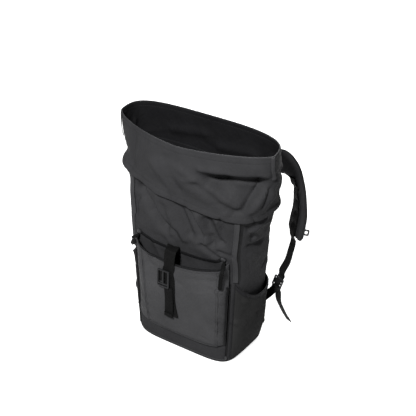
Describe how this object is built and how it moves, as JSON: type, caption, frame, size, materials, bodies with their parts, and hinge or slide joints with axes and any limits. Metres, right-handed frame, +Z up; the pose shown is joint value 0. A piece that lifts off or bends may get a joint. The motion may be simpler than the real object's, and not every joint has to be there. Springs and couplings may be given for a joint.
{
  "type": "backpack",
  "caption": "Rolltop backpack standing open, with an unrolled collar, a zipped front pocket under a buckled strap, stretch side pockets and padded shoulder straps.",
  "frame": {"origin": "middle of the base, on the floor that the bag stands on", "axes": "+X to the right seen from the front, +Y to the back panel, +Z up to the open mouth"},
  "size_m": [0.4472, 0.2947, 0.5882],
  "materials": {
    "body_cloth": "matt coated nylon",
    "collar_cloth": "satin coated nylon",
    "pocket_cloth": "matt coated nylon",
    "trim_cloth": "satin tape",
    "stretch_cloth": "matt stretch knit",
    "padded_cloth": "matt mesh over foam",
    "webbing": "matt woven webbing",
    "zip_tape": "satin coated zip",
    "zip_metal": "satin black",
    "buckle_metal": "satin dark grey",
    "plastic": "moulded matt"
  },
  "bodies": {
    "root": {"body_shell": "body_cloth", "collar": "collar_cloth", "rim_band": "collar_cloth", "rim_strip_right": "trim_cloth", "rim_strip_left": "trim_cloth", "front_pocket": "pocket_cloth", "pocket_zip_edge": "zip_tape", "pocket_zip_body": "zip_tape", "zip_slider_right": "zip_metal", "zip_pull_right": "webbing", "zip_slider_left": "zip_metal", "zip_pull_left": "webbing", "side_zip_cover_right": "pocket_cloth", "side_zip_cover_left": "pocket_cloth", "quick_zip_lip": "zip_tape", "quick_zip_body": "zip_tape", "quick_zip_slider": "zip_metal", "bottle_pocket_right": "stretch_cloth", "bottle_pocket_left": "stretch_cloth", "closure_strap": "webbing", "closure_buckle": "buckle_metal", "closure_tail": "webbing", "back_pad": "padded_cloth", "grab_handle": "webbing", "rear_strap": "webbing", "rear_hook": "buckle_metal", "shoulder_pad_right": "padded_cloth", "harness_webbing_right": "webbing", "ladder_lock_right": "plastic", "strap_anchor_right": "webbing", "sternum_slider_right": "plastic", "shoulder_pad_left": "padded_cloth", "harness_webbing_left": "webbing", "ladder_lock_left": "plastic", "strap_anchor_left": "webbing", "sternum_slider_left": "plastic"}
  },
  "joints": []
}
